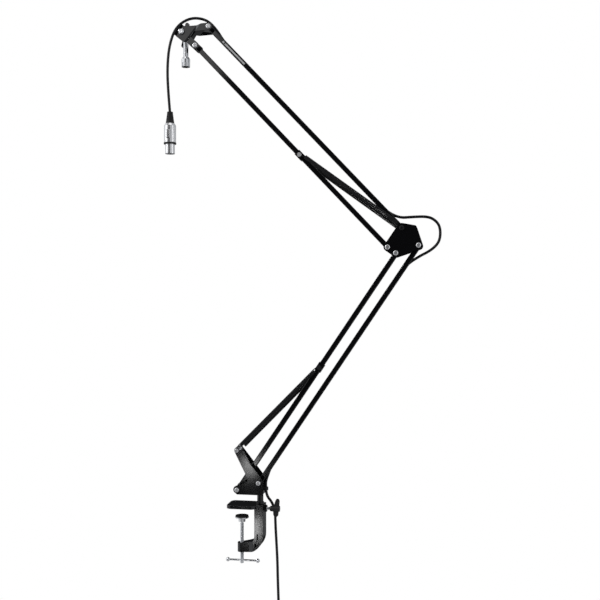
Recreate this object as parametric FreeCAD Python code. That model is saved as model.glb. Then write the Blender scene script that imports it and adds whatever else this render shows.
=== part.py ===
import FreeCAD
import Part
import math
import os

os.makedirs("parts", exist_ok=True)

# Desk-clamp boom arm for a microphone, two sprung parallelogram arms on a swivel, in millimetres.
# The origin is on the desk face of the clamp's upper jaw, on the clamp screw's axis.
# X runs to the right along the arm, Y into the depth and Z up. The arm lies in the plane y = 0.

# Fits and gaps
PIVOT_FIT = 0.05         # radial running clearance of every pivot bolt in its bush
SIDE_GAP = 0.3           # gap beside a bush, an eye or a pad that turns
MOVE_GAP = 0.4           # smallest gap between bodies that slide past each other
THREAD_FIT = 0.05        # radial clearance that stands in for a screw thread

# Sheet, tube and fasteners
SHEET = 1.5              # thickness of the pressed steel cheek plates
INNER_GAP = 24.0         # width between the cheek plates
TUBE = 8.0               # outside width of the square arm tubes
TUBE_WALL = 0.8          # wall of the square tubes
TUBE_CORNER = 1.2        # outside corner radius of the tubes
TUBE_PAST_PIVOT = 5.0    # tube past the pivot axis at each end
BOLT_R = 2.5             # M5 pivot bolt
BOLT_HEAD_R = 4.0        # pan head of a pivot bolt
BOLT_HEAD_T = 2.6        # height of that head
NUT_R = 3.7              # dome nut on the back of a pivot bolt
NUT_T = 4.0              # height of that nut
BUSH_WALL = 1.05         # wall of the bush pressed through a tube end

# Arm layout
LOWER_ARM = 452.0        # pivot to pivot, lower arm
LOWER_ANGLE = 56.1       # lower arm above the horizontal, in degrees
UPPER_ARM = 450.4        # pivot to pivot, upper arm
UPPER_ANGLE = 133.3      # upper arm from the X axis, in degrees
BASE_PIVOT_X = 30.1      # right-hand base pivot, over the swivel axis
BASE_PIVOT_Z = 41.4      # and its height above the desk face
LOWER_LINK_X = -35.0     # left lower tube from the right one, at both ends
LOWER_LINK_Z = -11.7
ELBOW_X = -47.7          # upper arm's bottom pivot from the lower arm's right pivot
ELBOW_Z = -2.6
UPPER_LINK_X = 22.0      # upper arm's top tube from its bottom one, at both ends
UPPER_LINK_Z = 29.5
TILT_X = -47.1           # tilt bolt of the post from the upper arm's top pivot at the head
TILT_Z = -3.8

# Springs
SPRING_R = 3.3           # outside radius of the close-coiled springs
SPRING_WIRE_R = 0.7      # radius of the spring wire
HOOK_SHANK = 9.0         # straight length from the pin to the coils
WING_X = -5.5            # base spring pin
WING_Z = 92.0
LOWER_ANCHOR = 236.0     # spring pin along the left lower tube
UPPER_ANCHOR = 203.0     # spring pin along the upper arm's bottom tube
LOWER_STAGGER = 1.8      # the front spring above its pins' line, the rear one below it
UPPER_STAGGER = 2.6
PIN_R = 2.0              # anchor pin
SPRING_BOLT_R = 3.2      # sleeve of the base spring pin

# Clamp
FRAME_DEPTH = 26.0       # depth of the cast frame
JAW_DEPTH = 40.0         # the upper jaw is wider than the beam
JAW_CORNER = 9.0
JAW_LEFT = -22.0         # free end of the upper jaw
JAW_T = 5.5              # thickness of the upper jaw
BEAM_IN = 23.0           # inner face of the beam
BEAM_OUT = 37.0          # outer face of the beam
THROAT = 57.0            # jaw face to the screw boss
SCREW_R = 3.0            # clamp screw
SCREW_PAST_BAR = 4.7     # screw below the tommy bar's axis
SCREW_BOSS_R = 7.0
BOSS_LONG = 14.5         # length of the screw boss
BAR_DROP = 14.5          # tommy bar below the boss
BAR_R = 1.5
BAR_LEFT = -23.2         # centres of the two ball ends
BAR_RIGHT = 26.0
BALL_R = 3.3
PAD_TOP = -14.0          # rubber face of the pressure pad at rest
PAD_R = 11.0
FACE_T = 2.0             # rubber face of the pad
CUP_R = 5.6              # cup of the pad round the screw's nose
SWIVEL_R = 5.0           # swivel pin of the base bracket
COLLAR_R = 6.2           # collar that rests on the clamp
KNOB_Z = -1.3            # axis of the lock knob
KNOB_R = 4.6
KNOB_OUT = 9.5           # knob's hub from the beam
KNOB_LONG = 15.3
WING_REACH = 16.0        # longest reach of the knob's wings from its axis
STUD_R = 2.5
LOCK_BOSS_R = 5.5

# Head and microphone post
POST_ASIDE = 5.5         # post axis beside the tilt bolt
POST_R = 4.15
POST_LONG = 40.4         # tilt bolt to the top of the coupler
COUPLER_LONG = 15.9
POST_IN = 3.3            # post's spigot inside the coupler
SPIGOT_R = 2.6
COUPLER_R = 6.95
THREAD_R = 4.0           # inside radius of the 3/8 inch microphone thread
THREAD_DEEP = 12.0
CHEEK_IN = 4.6           # half width between the head plates at the post
TILT_R = 3.0             # tilt bolt
EYE_R = 8.4              # round eye of the post
WASHER_T = 1.2
WING_NUT_R = 5.6
WING_NUT_T = 3.4         # its wings
NUT_CLEAR = 0.7          # wings clear of the head's outer faces
WING_NUT_REACH = 17.0

# Cable
CORD_R = 2.15
TUBE_PORT = 34.0         # length of a cable slot in a tube
PORT_DEEP = 3.6          # how deep it cuts through the wall
PORT_ROOM = 1.4          # its width beyond the cable's
PORT_LOW = 23.0          # middle of the slot from the pivot: base, elbow, elbow, head
PORT_ELBOW = 24.0
PORT_UPPER = 28.0
PORT_HEAD = 21.0

# Connectors
SHELL_R = 9.6            # female connector's shell
NOSE_R = 7.7             # its narrower nose
SHELL_BORE = 6.7
MALE_R = 9.4             # male connector's shell
MALE_BORE = 7.9
BOOT_LONG = 19.0
BOOT_THICK = 7.0         # female connector's boot at the shell
BOOT_THIN = 4.7          # and where the cable comes out
BOOT_FIT = 0.3           # the cable leans a little where it comes out of a boot
PIN_RING = 3.4           # contacts from the connector's axis

ANGLE_L = math.radians(LOWER_ANGLE)
ANGLE_U = math.radians(UPPER_ANGLE)
DIR_L = (math.cos(ANGLE_L), math.sin(ANGLE_L))
DIR_U = (math.cos(ANGLE_U), math.sin(ANGLE_U))
P1 = (BASE_PIVOT_X, BASE_PIVOT_Z)
P2 = (P1[0] + LOWER_LINK_X, P1[1] + LOWER_LINK_Z)
PC = (P1[0] + LOWER_ARM * DIR_L[0], P1[1] + LOWER_ARM * DIR_L[1])
PB = (PC[0] + LOWER_LINK_X, PC[1] + LOWER_LINK_Z)
PA = (PC[0] + ELBOW_X, PC[1] + ELBOW_Z)
PD = (PA[0] + UPPER_LINK_X, PA[1] + UPPER_LINK_Z)
H3 = (PA[0] + UPPER_ARM * DIR_U[0], PA[1] + UPPER_ARM * DIR_U[1])
H2 = (H3[0] + UPPER_LINK_X, H3[1] + UPPER_LINK_Z)
HB = (H2[0] + TILT_X, H2[1] + TILT_Z)
WING = (WING_X, WING_Z)
FOOT_Z = P2[1] - 7.7
BLOCK_T = 9.0
BLOCK_RIGHT = 5.9
KL = (P2[0] + LOWER_ANCHOR * DIR_L[0], P2[1] + LOWER_ANCHOR * DIR_L[1])
KU = (PA[0] + UPPER_ANCHOR * DIR_U[0], PA[1] + UPPER_ANCHOR * DIR_U[1])
HALF = INNER_GAP / 2
OUTER = HALF + SHEET
SPRING_Y = (TUBE / 2 + HALF) / 2
BOSS_TOP = -THROAT
BOSS_LOW = BOSS_TOP - BOSS_LONG
BAR_Z = BOSS_LOW - BAR_DROP
SCREW_END = BAR_Z - SCREW_PAST_BAR
POST_X = HB[0] + POST_ASIDE
POST_LOW = HB[1] - POST_LONG
COUPLER_LOW = POST_LOW - COUPLER_LONG
BUSH_R = BOLT_R + PIVOT_FIT + BUSH_WALL


def vec(x, y, z):
    return FreeCAD.Vector(x, y, z)


def along_y(radius, x, z, y0, y1):
    """Round bar along Y at (x, z)."""
    return Part.makeCylinder(radius, y1 - y0, vec(x, y0, z), vec(0, 1, 0))


def along_x(radius, z, x0, x1):
    """Round bar along X in the plane y = 0."""
    return Part.makeCylinder(radius, x1 - x0, vec(x0, 0, z), vec(1, 0, 0))


def along_z(radius, x, z0, z1):
    """Round bar along Z in the plane y = 0."""
    return Part.makeCylinder(radius, z1 - z0, vec(x, 0, z0), vec(0, 0, 1))


def block(x0, x1, y0, y1, z0, z1):
    return Part.makeBox(x1 - x0, y1 - y0, z1 - z0, vec(x0, y0, z0))


def flat(points, y0, y1):
    """Prism with its outline in the XZ plane, from y0 to y1."""
    wire = Part.makePolygon([vec(p[0], y0, p[1]) for p in points + [points[0]]])
    return Part.Face(wire).extrude(vec(0, y1 - y0, 0))


def strap(a, ra, b, rb, y0, y1):
    """Plate between two round ends of different radius, with tangent edges."""
    dx, dz = b[0] - a[0], b[1] - a[1]
    length = math.hypot(dx, dz)
    base = math.atan2(dz, dx)
    lean = math.acos((ra - rb) / length)
    up, down = base + lean, base - lean
    corners = []
    for (c, r, t) in ((a, ra, up), (a, ra, down), (b, rb, down), (b, rb, up)):
        corners.append((c[0] + r * math.cos(t), c[1] + r * math.sin(t)))
    body = flat(corners, y0, y1)
    body = body.fuse(along_y(ra, a[0], a[1], y0, y1))
    return body.fuse(along_y(rb, b[0], b[1], y0, y1))


def joined(shapes):
    """One solid from overlapping shapes, without leftover seams."""
    body = shapes[0]
    for other in shapes[1:]:
        body = body.fuse(other)
    return body.removeSplitter()


def point_on(start, direction, distance, side=0.0):
    """Point along a tube's axis, and beside it to the left of its direction."""
    return (start[0] + distance * direction[0] - side * direction[1],
            start[1] + distance * direction[1] + side * direction[0])


def bar_between(start, direction, from_d, to_d, wide, deep, corner, y=0.0):
    """Square bar lying along a direction in the XZ plane, with rounded long edges."""
    length = to_d - from_d
    body = Part.makeBox(length, deep, wide, vec(0, -deep / 2, -wide / 2))
    if corner > 0:
        body = body.makeFillet(corner, [e for e in body.Edges if abs(e.tangentAt(e.FirstParameter).x) > 0.9])
    body.rotate(vec(0, 0, 0), vec(0, 1, 0), -math.degrees(math.atan2(direction[1], direction[0])))
    first = point_on(start, direction, from_d)
    body.translate(vec(first[0], y, first[1]))
    return body


def save(shape, name):
    shape.exportStep("parts/" + name + ".step")
    print(name, "volume", round(shape.Volume, 1), "valid", shape.isValid(), "solids", len(shape.Solids))


# ---------------------------------------------------------------- clamp

def clamp_frame():
    """Cast C-shaped frame: upper jaw, beam with the swivel bore, lower arm and screw boss."""
    half = FRAME_DEPTH / 2
    boss_top, boss_low = BOSS_TOP, BOSS_LOW
    toe = SCREW_BOSS_R + 5
    bend = boss_top + 11
    outer_arc = Part.Arc(vec(BEAM_OUT, -half, bend + 4), vec(BEAM_OUT - 5.4, -half, boss_top - 2.5),
                         vec(toe, -half, boss_low + 0.8))
    points = [vec(toe, -half, boss_low + 0.8), vec(0, -half, boss_low + 0.3), vec(0, -half, boss_top),
              vec(BEAM_IN - 7, -half, boss_top + 3.5)]
    inner_arc = Part.Arc(points[-1], vec(BEAM_IN - 1.7, -half, boss_top + 6.0), vec(BEAM_IN, -half, bend))
    edges = [outer_arc.toShape()]
    for a, b in zip(points[:-1], points[1:]):
        edges.append(Part.LineSegment(a, b).toShape())
    edges.append(inner_arc.toShape())
    loop = [vec(BEAM_IN, -half, bend), vec(BEAM_IN, -half, 0), vec(JAW_LEFT + JAW_CORNER, -half, 0),
            vec(JAW_LEFT + JAW_CORNER, -half, JAW_T), vec(BEAM_OUT, -half, JAW_T),
            vec(BEAM_OUT, -half, bend + 4)]
    for a, b in zip(loop[:-1], loop[1:]):
        edges.append(Part.LineSegment(a, b).toShape())
    body = Part.Face(Part.Wire(edges)).extrude(vec(0, FRAME_DEPTH, 0))
    # The jaw is a wide plate with round corners.
    jaw = block(JAW_LEFT, BEAM_IN + 3, -JAW_DEPTH / 2, JAW_DEPTH / 2, 0, JAW_T)
    jaw = jaw.makeFillet(JAW_CORNER, [e for e in jaw.Edges if abs(e.tangentAt(e.FirstParameter).z) > 0.9])
    jaw = jaw.makeFillet(1.4, [e for e in jaw.Edges if abs(e.CenterOfMass.z - JAW_T) < 0.01])
    body = body.fuse(jaw)
    # The lower arm narrows towards the boss.
    for side in (-1, 1):
        y0, y1 = sorted((side * (SCREW_BOSS_R + 0.5), side * (half + 1)))
        body = body.cut(block(-2, toe + 1, y0, y1, boss_low - 2, boss_top + 4))
        narrow, low = side * (SCREW_BOSS_R + 0.5), boss_low - 2
        wedge = Part.makePolygon([vec(toe + 1, narrow, low), vec(toe + 9, side * half, low),
                                  vec(toe + 9, side * (half + 1), low), vec(toe + 1, side * (half + 1), low),
                                  vec(toe + 1, narrow, low)])
        body = body.cut(Part.Face(wedge).extrude(vec(0, 0, BOSS_LONG + 9)))
        # Shallow lightening pocket at the bend, on each side.
        y0, y1 = sorted((side * (half - 5), side * (half + 1)))
        pocket = flat([(BEAM_IN + 4, bend + 6), (BEAM_OUT - 3, bend + 6), (BEAM_OUT - 3.8, bend - 3),
                       (BEAM_OUT - 7.5, bend - 10.5), (BEAM_IN + 1.5, bend - 15), (BEAM_IN + 0.5, bend - 11),
                       (BEAM_IN + 4, bend - 4)], y0, y1)
        body = body.cut(pocket)
    body = body.fuse(along_z(SCREW_BOSS_R, 0, boss_low, boss_top))
    body = body.fuse(along_x(LOCK_BOSS_R, KNOB_Z, BEAM_OUT - 1, BEAM_OUT + 4))
    body = body.cut(along_z(SCREW_R + THREAD_FIT, 0, boss_low - 1, boss_top + 1))
    body = body.cut(along_z(SWIVEL_R + PIVOT_FIT, BASE_PIVOT_X, -17.5 + JAW_T, JAW_T + 1))
    return body.cut(along_x(STUD_R + THREAD_FIT, KNOB_Z, BASE_PIVOT_X, BEAM_OUT + 6)).removeSplitter()


def clamp_screw():
    """Screw with a cross hole for the bar and a rounded nose inside the pad's cup."""
    nose = PAD_TOP - FACE_T - 3.0 - MOVE_GAP / 4
    body = along_z(SCREW_R, 0, SCREW_END, nose - 1.2)
    body = body.fuse(along_z(SCREW_R - 0.8, 0, nose - 1.2, nose))
    return body.cut(along_x(BAR_R + THREAD_FIT, BAR_Z, -10, 10)).removeSplitter()


def tommy_bar():
    body = along_x(BAR_R, BAR_Z, BAR_LEFT, BAR_RIGHT)
    for x in (BAR_LEFT, BAR_RIGHT):
        body = body.fuse(Part.makeSphere(BALL_R, vec(x, 0, BAR_Z)))
    return body.removeSplitter()


def pressure_pad():
    """Pressed steel cup and disc that bears on the underside of the desk."""
    top = PAD_TOP - FACE_T
    body = along_z(PAD_R, 0, top - 2.0, top)
    body = body.fuse(along_z(CUP_R, 0, top - 8.0, top - 1.0))
    return body.cut(along_z(SCREW_R + MOVE_GAP, 0, top - 9.0, top - 3.0 + MOVE_GAP)).removeSplitter()


def pad_face():
    return along_z(PAD_R - 0.5, 0, PAD_TOP - FACE_T, PAD_TOP)


def knob_stud():
    """Threaded stud of the lock knob, its nose just off the swivel pin."""
    first = BASE_PIVOT_X + SWIVEL_R + MOVE_GAP
    return along_x(STUD_R, KNOB_Z, first, BEAM_OUT + KNOB_OUT + 9.5)


def knob_wing():
    """Moulded two-wing knob on the stud."""
    x, z, reach = BEAM_OUT + KNOB_OUT, KNOB_Z, WING_REACH
    hub = Part.makeCone(KNOB_R - 0.4, KNOB_R, 4.0, vec(x, 0, z), vec(1, 0, 0))
    hub = hub.fuse(along_x(KNOB_R, z, x + 4, x + KNOB_LONG))
    top = flat([(x + 4.5, z), (x + 8.7, z + reach - 2.7), (x + 10.5, z + reach - 0.1),
                (x + 14, z + reach - 0.9), (x + 15.1, z + reach - 4.2), (x + 13.9, z)], -1.9, 1.9)
    low = flat([(x + 4.5, z), (x + 5.1, z - reach + 6.8), (x + 6.7, z - reach + 3.3),
                (x + 10.1, z - reach + 2.5), (x + 12.7, z - reach + 4.9), (x + 13.9, z)], -1.9, 1.9)
    body = joined([hub, top, low])
    return body.cut(along_x(STUD_R + THREAD_FIT, z, x - 6, x + 9.9))


# ---------------------------------------------------------------- base bracket

def base_plate(y0):
    """Cheek plate: a wing that carries the spring pin and a foot that carries both tubes."""
    y1 = y0 + SHEET
    wing = strap(WING, 4.2, P1, 7.7, y0, y1)
    fill = flat([(WING[0] - 3.9, WING[1] - 1.4), (P1[0] - 21.1, P1[1] + 12.8), (P1[0] - 17.8, P1[1] + 4.3),
                 (P1[0] - 20.3, P1[1] - 2.6), (P1[0], P1[1]), (WING[0] + 3, WING[1] - 1)], y0, y1)
    foot = strap(P2, 6.2, P1, 7.7, y0, y1)
    sole = flat([(P2[0] - 4.6, P2[1] - 4.2), (P2[0] - 0.1, FOOT_Z), (P1[0] + 7.2, FOOT_Z),
                 (P1[0] + 7.7, P1[1]), (P1[0] - 20, P1[1] - 3.4), (P2[0] - 1.1, P2[1] + 3.3)], y0, y1)
    body = joined([wing, fill, foot, sole])
    for centre, radius in ((P1, BOLT_R), (P2, BOLT_R), (WING, BOLT_R)):
        body = body.cut(along_y(radius, centre[0], centre[1], y0 - 1, y1 + 1))
    return body


def base_block():
    """Foot block between the plates, on top of the swivel pin."""
    x = BASE_PIVOT_X
    body = block(x - 8.1, x + BLOCK_RIGHT, -HALF, HALF, FOOT_Z, FOOT_Z + BLOCK_T)
    return body.cut(along_z(SWIVEL_R, x, FOOT_Z - 7, FOOT_Z + BLOCK_T - 2))


def swivel_pin():
    """Swivel pin with the collar that rests on the clamp."""
    body = along_z(SWIVEL_R, BASE_PIVOT_X, JAW_T - 16, FOOT_Z + BLOCK_T - 2)
    return body.fuse(along_z(COLLAR_R, BASE_PIVOT_X, JAW_T + SIDE_GAP, JAW_T + 3.5)).removeSplitter()


def pivot_bolt(centre):
    """Bolt with a domed pan head in front and a dome nut behind."""
    shank = along_y(BOLT_R, centre[0], centre[1], -OUTER, OUTER)
    head = along_y(BOLT_HEAD_R, centre[0], centre[1], -OUTER - BOLT_HEAD_T, -OUTER)
    head = head.makeFillet(1.6, [e for e in head.Edges if abs(e.CenterOfMass.y + OUTER + BOLT_HEAD_T) < 0.01])
    x, z, far, near = centre[0], centre[1], -OUTER - 4, -OUTER - 1.4
    head = head.cut(block(x - 2.2, x + 2.2, far, near, z - 0.4, z + 0.4))
    head = head.cut(block(x - 0.4, x + 0.4, far, near, z - 2.2, z + 2.2))
    nut = along_y(NUT_R, centre[0], centre[1], OUTER, OUTER + NUT_T)
    nut = nut.makeFillet(1.8, [e for e in nut.Edges if abs(e.CenterOfMass.y - OUTER - NUT_T) < 0.01])
    return joined([shank, head, nut])


def base_bolt(centre):
    """Bolt with a dome nut in front and its head behind."""
    body = pivot_bolt(centre)
    return body.mirror(vec(0, 0, 0), vec(0, 1, 0))


def base_spring_pin():
    """Bolt and sleeve across the wing tips, where the lower springs hook."""
    body = along_y(BOLT_R, WING[0], WING[1], -OUTER, OUTER)
    body = body.fuse(along_y(SPRING_BOLT_R, WING[0], WING[1], -HALF, HALF))
    for side in (-1, 1):
        y0, y1 = sorted((side * OUTER, side * (OUTER + 2.4)))
        cap = along_y(3.4, WING[0], WING[1], y0, y1)
        cap = cap.makeFillet(1.0, [e for e in cap.Edges if abs(abs(e.CenterOfMass.y) - OUTER - 2.4) < 0.01])
        body = body.fuse(cap)
    return body.removeSplitter()


def cable_clip():
    """Ring on the foot block that holds the cable."""
    x, low, high = TAIL[0][0], TAIL[0][2] - 2.0, TAIL[0][2] + 3.0
    body = along_z(CORD_R + 1.6, x, low, high)
    body = body.fuse(block(BASE_PIVOT_X + BLOCK_RIGHT, x - CORD_R, -2.8, 2.8, low, high))
    return body.cut(along_z(CORD_R + SIDE_GAP, x, low - 2, high + 2)).cut(
        block(BASE_PIVOT_X, BASE_PIVOT_X + BLOCK_RIGHT, -6, 6, low - 2, high + 2)).removeSplitter()


# ---------------------------------------------------------------- arm tubes

def tube(start, direction, length, ports, anchors):
    """Square tube with a bush through each end, cable slots, and holes for a spring pin."""
    first, last = -TUBE_PAST_PIVOT, length + TUBE_PAST_PIVOT
    body = bar_between(start, direction, first, last, TUBE, TUBE, TUBE_CORNER)
    bore = TUBE - 2 * TUBE_WALL
    body = body.cut(bar_between(start, direction, first - 1, last + 1, bore, bore, 0.5))
    for distance, side in ports:
        near = point_on(start, direction, 0, side * TUBE / 2)
        slot = bar_between(near, direction, distance - TUBE_PORT / 2, distance + TUBE_PORT / 2, PORT_DEEP,
                           2 * CORD_R + PORT_ROOM, 0)
        body = body.cut(slot)
    for distance in (0, length):
        c = point_on(start, direction, distance)
        body = body.fuse(along_y(BUSH_R, c[0], c[1], SIDE_GAP - HALF, HALF - SIDE_GAP))
        body = body.cut(along_y(BOLT_R + PIVOT_FIT, c[0], c[1], -HALF, HALF))
    for distance in anchors:
        c = point_on(start, direction, distance)
        body = body.cut(along_y(PIN_R, c[0], c[1], -HALF, HALF))
    return body.removeSplitter()


def saddle(start, direction, distance):
    """Folded clip round the tube that spreads the spring pin's load."""
    body = bar_between(start, direction, distance - 7, distance + 7, TUBE + 2.4, TUBE + 2.4, 1.0)
    body = body.cut(bar_between(start, direction, distance - 8, distance + 8, TUBE, TUBE, TUBE_CORNER))
    c = point_on(start, direction, distance)
    return body.cut(along_y(PIN_R, c[0], c[1], -HALF, HALF)).removeSplitter()


def anchor_pin(c):
    """Pin through tube and saddle, with an end collar outside each spring loop."""
    body = along_y(PIN_R, c[0], c[1], -HALF + 1.0, HALF - 1.0)
    for side in (-1, 1):
        y0, y1 = sorted((side * (HALF - 2.2), side * (HALF - 1.0)))
        body = body.fuse(along_y(PIN_R + 1.4, c[0], c[1], y0, y1))
    return body.removeSplitter()


# ---------------------------------------------------------------- springs

def loop(c, y, radius):
    ring = Part.makeTorus(radius, SPRING_WIRE_R, vec(c[0], y, c[1]), vec(0, 1, 0))
    return ring


def spring(fixed, moving, fixed_loop_r, y, stagger):
    """Close-coiled spring with its fixed end's loop; the coil lies beside the line of its pins."""
    dx, dz = moving[0] - fixed[0], moving[1] - fixed[1]
    length = math.hypot(dx, dz)
    d = (dx / length, dz / length)
    first = point_on(fixed, d, HOOK_SHANK, stagger)
    start = vec(first[0], y, first[1])
    coil = Part.makeCylinder(SPRING_R, length - 2 * HOOK_SHANK, start, vec(d[0], 0, d[1]))
    inner = Part.makeCylinder(SPRING_R - 2 * SPRING_WIRE_R, length - 2 * HOOK_SHANK - 2.4,
                              vec(first[0] + 1.2 * d[0], y, first[1] + 1.2 * d[1]), vec(d[0], 0, d[1]))
    coil = coil.cut(inner)
    root = point_on(fixed, d, fixed_loop_r, 0)
    tip = point_on(fixed, d, HOOK_SHANK + 0.5, stagger)
    run = math.hypot(tip[0] - root[0], tip[1] - root[1])
    shank = Part.makeCylinder(SPRING_WIRE_R, run, vec(root[0], y, root[1]),
                              vec((tip[0] - root[0]) / run, 0, (tip[1] - root[1]) / run))
    return joined([coil, shank, loop(fixed, y, fixed_loop_r)])


def spring_hook(fixed, moving, y, stagger):
    """Loop and shank at the spring's moving end."""
    dx, dz = moving[0] - fixed[0], moving[1] - fixed[1]
    length = math.hypot(dx, dz)
    d = (-dx / length, -dz / length)
    radius = PIN_R + SPRING_WIRE_R + 0.4
    root = point_on(moving, d, radius, 0)
    tip = point_on(moving, d, HOOK_SHANK - SIDE_GAP, -stagger)
    run = math.hypot(tip[0] - root[0], tip[1] - root[1])
    shank = Part.makeCylinder(SPRING_WIRE_R, run, vec(root[0], y, root[1]),
                              vec((tip[0] - root[0]) / run, 0, (tip[1] - root[1]) / run))
    return joined([shank, loop(moving, y, radius)])


# ---------------------------------------------------------------- elbow and head

def elbow_plate(y0):
    """Five-sided cheek plate that joins the two arms."""
    y1 = y0 + SHEET
    corner = (PC[0] - 6.0, PC[1] + 27.6)
    rim = [(PA, 6.2), (PB, 6.2), (PC, 6.2), (corner, 3.2), (PD, 7.6)]
    parts = []
    for (a, ra), (b, rb) in zip(rim, rim[1:] + rim[:1]):
        parts.append(strap(a, ra, b, rb, y0, y1))
    parts.append(flat([p for p, r in rim], y0, y1))
    body = joined(parts)
    for c in (PA, PB, PC, PD):
        body = body.cut(along_y(BOLT_R, c[0], c[1], y0 - 1, y1 + 1))
    return body


def head_plate(side):
    """Forked cheek plate, joggled inwards where it grips the post."""
    n1, n2 = (HB[0] + 17, HB[1] + 2.7), (HB[0] + 10.5, HB[1] - 12)
    arm_2 = strap(H2, 5.9, n1, 5.9, -OUTER - 2, OUTER + 2)
    arm_3 = strap(H3, 5.7, n2, 5.6, -OUTER - 2, OUTER + 2)
    blob = flat([(HB[0] - 12.4, HB[1] - 4.1), (HB[0] - 9.0, HB[1] + 4.2), (HB[0] + 0.4, HB[1] + 12.0),
                 (HB[0] + 4.5, HB[1] + 8.9), (HB[0] + 24, HB[1] + 8.5), (HB[0] + 21, HB[1] - 2.4),
                 (HB[0] + 13.0, HB[1] - 14.4), (HB[0] + 3.8, HB[1] - 17.0)], -OUTER - 2, OUTER + 2)
    outline = joined([arm_2, arm_3, blob])
    # The folded sheet: flat, sloping band, flat, drawn across the band and run along it.
    bx, bz = HB[0] + 4.4, HB[1] - 17.8
    ex, ez = 0.637, 0.771
    nx, nz = 0.771, -0.637
    inner, outer = CHEEK_IN, HALF
    section = [(-60, inner), (0, inner), (7, outer), (90, outer), (90, outer + SHEET), (6.4, outer + SHEET),
               (-0.6, inner + SHEET), (-60, inner + SHEET)]
    points = [vec(bx + s * nx - 80 * ex, side * y, bz + s * nz - 80 * ez) for s, y in section]
    sheet = Part.Face(Part.makePolygon(points + [points[0]])).extrude(vec(160 * ex, 0, 160 * ez))
    body = sheet.common(outline)
    for c, r in ((H2, BOLT_R), (H3, BOLT_R), (HB, TILT_R)):
        body = body.cut(along_y(r, c[0], c[1], -OUTER - 3, OUTER + 3))
    return body


def tilt_bolt():
    face = CHEEK_IN + SHEET
    head = along_y(5.2, HB[0], HB[1], -face - 3.6, -face)
    head = head.makeFillet(2.2, [e for e in head.Edges if abs(e.CenterOfMass.y + face + 3.6) < 0.01])
    head = head.cut(block(HB[0] - 2.6, HB[0] + 2.6, -face - 5, -face - 1.8, HB[1] - 0.5, HB[1] + 0.5))
    head = head.cut(block(HB[0] - 0.5, HB[0] + 0.5, -face - 5, -face - 1.8, HB[1] - 2.6, HB[1] + 2.6))
    tail = OUTER + NUT_CLEAR + WING_NUT_T + 3.4
    return joined([head, along_y(TILT_R, HB[0], HB[1], -face, tail)])


def tilt_washer():
    face = CHEEK_IN + SHEET
    body = along_y(TILT_R + 3.4, HB[0], HB[1], face, face + WASHER_T)
    return body.cut(along_y(TILT_R + PIVOT_FIT, HB[0], HB[1], face - 1, face + 3))


def wing_nut():
    """Wing nut behind the head, its wings lying across the post's line."""
    y0 = CHEEK_IN + SHEET + WASHER_T + SIDE_GAP
    wing = OUTER + NUT_CLEAR
    body = along_y(WING_NUT_R, HB[0], HB[1], y0, wing + WING_NUT_T + 0.4)
    for sign in (-1, 1):
        tip = (HB[0] + sign * 0.19 * WING_NUT_REACH, HB[1] + sign * WING_NUT_REACH)
        root = (HB[0] + sign * 0.2 * WING_NUT_R, HB[1] + sign * 0.8 * WING_NUT_R)
        body = body.fuse(strap(root, 2.6, tip, 3.4, wing, wing + WING_NUT_T))
    hole = along_y(TILT_R + THREAD_FIT, HB[0], HB[1], y0 - 1, wing + WING_NUT_T + 2)
    return body.cut(hole).removeSplitter()


def mic_post():
    """Post that carries the microphone, with a flat round eye on the tilt bolt."""
    half = CHEEK_IN - SIDE_GAP
    eye = along_y(EYE_R, HB[0], HB[1], -half, half)
    rod = along_z(POST_R, POST_X, POST_LOW, HB[1] - EYE_R / 2)
    wide = POST_R + EYE_R
    rod = rod.common(block(POST_X - wide, POST_X + wide, -half, half, POST_LOW - 7, HB[1]))
    spigot = along_z(SPIGOT_R, POST_X, POST_LOW - POST_IN, POST_LOW)
    body = joined([eye, rod, spigot])
    return body.cut(along_y(TILT_R + PIVOT_FIT, HB[0], HB[1], -half - 1, half + 1))


def coupler():
    """Turned coupler with the microphone thread in its lower end and finger scallops."""
    top = Part.makeCone(COUPLER_R, POST_R + 0.7, 3.6, vec(POST_X, 0, POST_LOW - 3.6), vec(0, 0, 1))
    body = top.fuse(along_z(COUPLER_R, POST_X, COUPLER_LOW, POST_LOW - 3.6))
    for k in range(8):
        t = math.radians(45 * k + 22.5)
        x = POST_X + (COUPLER_R + 1.5) * math.cos(t)
        y = (COUPLER_R + 1.5) * math.sin(t)
        groove = Part.makeCylinder(2.1, 7.0, vec(x, y, COUPLER_LOW - 1), vec(0, 0, 1))
        body = body.cut(groove)
    body = body.cut(along_z(THREAD_R, POST_X, COUPLER_LOW - 1, COUPLER_LOW + THREAD_DEEP))
    body = body.cut(along_z(SPIGOT_R, POST_X, POST_LOW - POST_IN, POST_LOW + 2))
    return body.removeSplitter()


# ---------------------------------------------------------------- cable

def rounded_path(points):
    """Straight runs joined by tangent arcs, and the smallest bend radius."""
    edges = []
    radii = []
    last = points[0]
    for before, corner, after in zip(points[:-2], points[1:-1], points[2:]):
        a = before.sub(corner)
        b = after.sub(corner)
        short = min(a.Length, b.Length)
        a.normalize()
        b.normalize()
        half_turn = (math.pi - a.getAngle(b)) / 2
        radius = 0.45 * short / math.tan(half_turn)
        back = radius * math.tan(half_turn)
        start = corner.add(vec(a.x * back, a.y * back, a.z * back))
        end = corner.add(vec(b.x * back, b.y * back, b.z * back))
        bisector = a.add(b)
        bisector.normalize()
        reach = radius / math.cos(half_turn) - radius
        middle = corner.add(vec(bisector.x * reach, bisector.y * reach, bisector.z * reach))
        edges.append(Part.LineSegment(last, start).toShape())
        edges.append(Part.Arc(start, middle, end).toShape())
        last = end
        radii.append(radius)
    edges.append(Part.LineSegment(last, points[-1]).toShape())
    return Part.Wire(edges), min(radii) if radii else 0.0


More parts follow.
